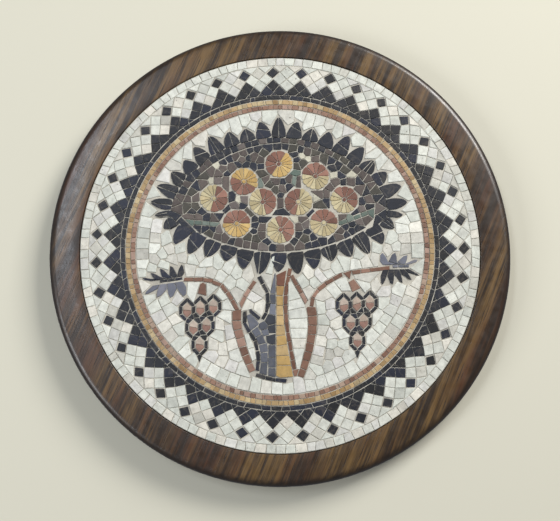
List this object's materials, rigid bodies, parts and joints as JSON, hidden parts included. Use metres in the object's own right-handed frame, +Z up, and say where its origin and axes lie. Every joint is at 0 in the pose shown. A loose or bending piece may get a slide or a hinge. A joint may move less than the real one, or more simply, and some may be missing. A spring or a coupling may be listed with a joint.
{
  "type": "mosaic panel",
  "caption": "Round wooden wall panel with an inlaid stone mosaic: a flowering tree between two vines, inside a crowstep border.",
  "frame": {"origin": "centre of the board's flat back face, which lies against the wall", "axes": "+Z up the panel as it hangs, +Y into the wall, the mosaic faces -Y, +X to the right as seen from the front"},
  "size_m": [0.4, 0.024, 0.4],
  "materials": {
    "board_wood": "dark satin varnish",
    "mortar": "matt",
    "white_stone": "honed",
    "black_stone": "honed",
    "ochre_stone": "honed",
    "terracotta_stone": "honed",
    "core_stone": "honed",
    "slate_stone": "honed",
    "brown_stone": "honed",
    "grape_stone": "honed",
    "flower_stone": "honed"
  },
  "bodies": {
    "root": {"wood_board": "board_wood", "mortar_bed": "mortar", "border_white": "white_stone", "border_black": "black_stone", "ring_ochre": "ochre_stone", "ring_terracotta": "terracotta_stone", "ground_white": "white_stone", "ground_white_2": "white_stone", "ground_white_3": "white_stone", "ground_white_4": "white_stone", "trunk_grey": "slate_stone", "trunk_ochre": "ochre_stone", "trunk_outline_brown": "brown_stone", "trunk_outline_black": "black_stone", "bough": "black_stone", "crown_leaves": "black_stone", "crown_core": "core_stone", "flower_01": "flower_stone", "flower_02": "flower_stone", "flower_03": "flower_stone", "flower_04": "flower_stone", "flower_05": "flower_stone", "flower_06": "flower_stone", "flower_07": "flower_stone", "flower_08": "flower_stone", "flower_09": "flower_stone", "flower_10": "flower_stone", "vine_left": "terracotta_stone", "vine_right": "terracotta_stone", "leaf_left_upper": "black_stone", "leaf_left_lower": "slate_stone", "leaf_right_upper": "slate_stone", "leaf_right_lower": "black_stone", "grapes_left_rim": "black_stone", "grape_left_1": "grape_stone", "grape_left_2": "grape_stone", "grape_left_3": "grape_stone", "grape_left_4": "grape_stone", "grape_left_5": "grape_stone", "grape_left_6": "grape_stone", "grapes_right_rim": "black_stone", "grape_right_1": "grape_stone", "grape_right_2": "grape_stone", "grape_right_3": "grape_stone", "grape_right_4": "grape_stone", "grape_right_5": "grape_stone", "grape_right_6": "grape_stone"}
  },
  "joints": []
}
